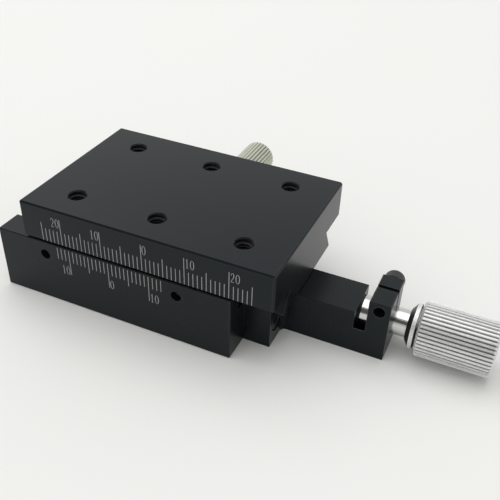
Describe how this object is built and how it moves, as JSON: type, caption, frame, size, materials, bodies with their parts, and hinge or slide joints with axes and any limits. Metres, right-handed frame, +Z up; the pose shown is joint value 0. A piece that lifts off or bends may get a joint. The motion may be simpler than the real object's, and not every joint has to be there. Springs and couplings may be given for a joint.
{
  "type": "linear translation stage",
  "caption": "Flat black slide with a dovetail table on a base, moved along one axis by a feed screw with a knurled knob, and held by a knurled lock screw.",
  "frame": {"origin": "centre of the base's bottom face", "axes": "+X along the travel towards the feed knob, +Y to the lock knob's side, +Z up out of the table"},
  "size_m": [0.109, 0.0647, 0.025],
  "materials": {
    "black_anodised": "fine satin black anodised, sharp machined edges with small breaks",
    "gib_brass": "ground, lightly oiled",
    "nut_brass": "machined",
    "black_steel": "black oxide screws",
    "ground_steel": "turned and ground, bright",
    "spring_steel": "phosphated spring steel",
    "nickel_knurl": "satin nickel plate over straight knurling",
    "washer_polymer": "smooth black sliding polymer"
  },
  "bodies": {
    "base": {"base_body": "black_anodised", "gib_strip": "gib_brass", "gib_screws": "black_steel", "screw_bracket": "black_anodised", "bracket_screws": "black_steel"},
    "table": {"table_top": "black_anodised", "feed_nut": "nut_brass", "nut_screws": "black_steel"},
    "spindle": {"feed_screw": "ground_steel", "thrust_collar": "ground_steel", "collar_set_screw": "black_steel", "thrust_washers": "washer_polymer", "retaining_ring": "spring_steel", "knob": "nickel_knurl", "knob_fixing_screw": "black_steel"},
    "lock_plug": {"lock_pad": "nut_brass"},
    "lock_screw": {"lock_stud": "ground_steel", "lock_knob": "nickel_knurl"},
    "ear_clamp": {"spindle_clamp_screw": "black_steel"}
  },
  "joints": [
    {"name": "feed_knob_spin", "type": "hinge", "parent": "base", "child": "spindle", "pos_m": [0.062, 0, 0.0068], "axis": [-1, 0, 0], "range_deg": [-10188, 4212]},
    {"name": "table_slide", "type": "slide", "parent": "base", "child": "table", "axis": [1, 0, 0], "range_m": [-0.0283, 0.0117]},
    {"name": "lock_advance", "type": "slide", "parent": "base", "child": "lock_plug", "axis": [0, 1, 0], "range_m": [0, 0.0005]},
    {"name": "lock_turn", "type": "hinge", "parent": "lock_plug", "child": "lock_screw", "pos_m": [0.007, 0.03, 0.0124], "axis": [0, 1, 0], "range_deg": [0, 360]},
    {"name": "ear_clamp_turn", "type": "hinge", "parent": "base", "child": "ear_clamp", "pos_m": [0.05605, 0.0045, 0.0124], "axis": [0, 1, 0], "range_deg": [0, 90]}
  ],
  "couplings": [
    {"joint": "feed_knob_spin", "follows": "table_slide", "rad_per_m": 6283.2},
    {"joint": "lock_turn", "follows": "lock_advance", "rad_per_m": 12566}
  ]
}
